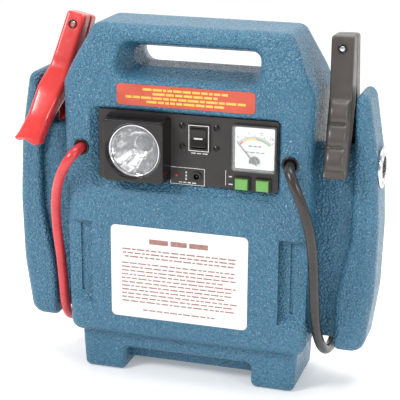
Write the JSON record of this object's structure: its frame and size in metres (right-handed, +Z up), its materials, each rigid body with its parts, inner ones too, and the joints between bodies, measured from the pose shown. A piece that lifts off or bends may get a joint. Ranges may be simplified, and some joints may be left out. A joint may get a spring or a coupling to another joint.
{
  "type": "jump starter pack",
  "caption": "Portable jump starter pack: wide-shouldered case with a hand slot, lamp, meter and switch panel, side outlet, and red and black battery clamps parked on flexible leads.",
  "frame": {"origin": "on the floor plane under the middle of the case, between the feet", "axes": "+X towards the side with the round outlet, +Y from the control panel to the back, +Z up"},
  "size_m": [0.3678, 0.1331, 0.3605],
  "materials": {
    "case_plastic": "pebbled",
    "panel_plastic": "fine texture",
    "dark_plastic": "satin",
    "red_plastic": "glossy",
    "black_plastic": "satin",
    "lead_red": "satin",
    "lead_black": "satin",
    "chrome": "polished",
    "steel": "plated",
    "brass": "plain",
    "clear": "clear",
    "reflector": "bright",
    "label_white": "printed",
    "label_orange": "printed",
    "button_green": "satin",
    "led_red": "clear red",
    "battery_plastic": "plain",
    "foam": "open cell",
    "board": "satin",
    "dial_white": "printed",
    "needle_paint": "painted",
    "label_ink": "printed",
    "sticker_ink": "printed",
    "white_ink": "printed",
    "dial_ink": "printed"
  },
  "bodies": {
    "case": {"front_shell": "case_plastic", "rear_shell": "case_plastic", "case_screws": "steel", "battery_case": "battery_plastic", "battery_lid": "battery_plastic", "battery_terminals": "brass", "battery_pads": "foam", "battery_strap": "battery_plastic", "negative_wire": "lead_black", "positive_wire": "lead_red", "lead_anchors": "dark_plastic", "control_panel": "panel_plastic", "panel_screws": "steel", "lamp_housing": "dark_plastic", "lamp_ring": "chrome", "lamp_lens": "clear", "lamp_reflector": "reflector", "bulb_holder": "dark_plastic", "lamp_bulb": "clear", "switch_bezel": "dark_plastic", "switch_terminals": "brass", "meter_base": "dark_plastic", "meter_cover": "clear", "meter_dial": "dial_white", "meter_movement": "dark_plastic", "meter_hood": "dark_plastic", "button_springs": "steel", "button_switches": "dark_plastic", "charge_jack": "dark_plastic", "charge_led": "led_red", "circuit_board": "board", "socket_barrel": "steel", "socket_ring": "chrome", "socket_nut": "steel", "socket_contact": "brass", "front_label": "label_white", "charge_sticker": "label_orange", "lead_grommets": "dark_plastic", "red_lead": "lead_red", "black_lead": "lead_black", "red_clamp_rear_grip": "red_plastic", "red_clamp_rear_jaw": "steel", "red_clamp_rear_screw": "chrome", "red_clamp_pivot_pin": "steel", "red_clamp_spring": "steel", "black_clamp_rear_grip": "black_plastic", "black_clamp_rear_jaw": "steel", "black_clamp_rear_screw": "chrome", "black_clamp_pivot_pin": "steel", "black_clamp_spring": "steel"},
    "light_switch": {"light_rocker": "dark_plastic"},
    "left_key": {"left_button": "button_green"},
    "right_key": {"right_button": "button_green"},
    "needle": {"meter_needle": "needle_paint"},
    "red_clamp_front": {"red_clamp_front_grip": "red_plastic", "red_clamp_front_jaw": "steel", "red_clamp_front_screw": "chrome"},
    "black_clamp_front": {"black_clamp_front_grip": "black_plastic", "black_clamp_front_jaw": "steel", "black_clamp_front_screw": "chrome"}
  },
  "joints": [
    {"name": "red_clamp_squeeze", "type": "hinge", "parent": "case", "child": "red_clamp_front", "pos_m": [-0.139, 0.0036, 0.3025], "axis": [0.9757, -0.0172, -0.2186], "range_deg": [0, 7], "stiffness_Nm_per_rad": 1, "springref_deg": -20.05, "deforming": ["red_clamp_spring"]},
    {"name": "black_clamp_squeeze", "type": "hinge", "parent": "case", "child": "black_clamp_front", "pos_m": [0.1432, -0.001, 0.297], "axis": [0.9997, 0, 0.0262], "range_deg": [0, 7], "stiffness_Nm_per_rad": 1, "springref_deg": -20.05, "deforming": ["black_clamp_spring"]},
    {"name": "light_switch_rock", "type": "hinge", "parent": "case", "child": "light_switch", "pos_m": [0.0149, -0.045, 0.2548], "axis": [1, 0, 0], "range_deg": [0, 10]},
    {"name": "left_key_press", "type": "slide", "parent": "case", "child": "left_key", "axis": [0, 1, 0], "range_m": [0, 0.0025], "stiffness_N_per_m": 300, "springref_m": -0.002, "deforming": ["button_springs"]},
    {"name": "right_key_press", "type": "slide", "parent": "case", "child": "right_key", "axis": [0, 1, 0], "range_m": [0, 0.0025], "stiffness_N_per_m": 300, "springref_m": -0.002, "deforming": ["button_springs"]},
    {"name": "needle_swing", "type": "hinge", "parent": "case", "child": "needle", "pos_m": [0.0699, -0.054, 0.237], "axis": [0, 1, 0], "range_deg": [0, 84], "stiffness_Nm_per_rad": 0.002}
  ]
}
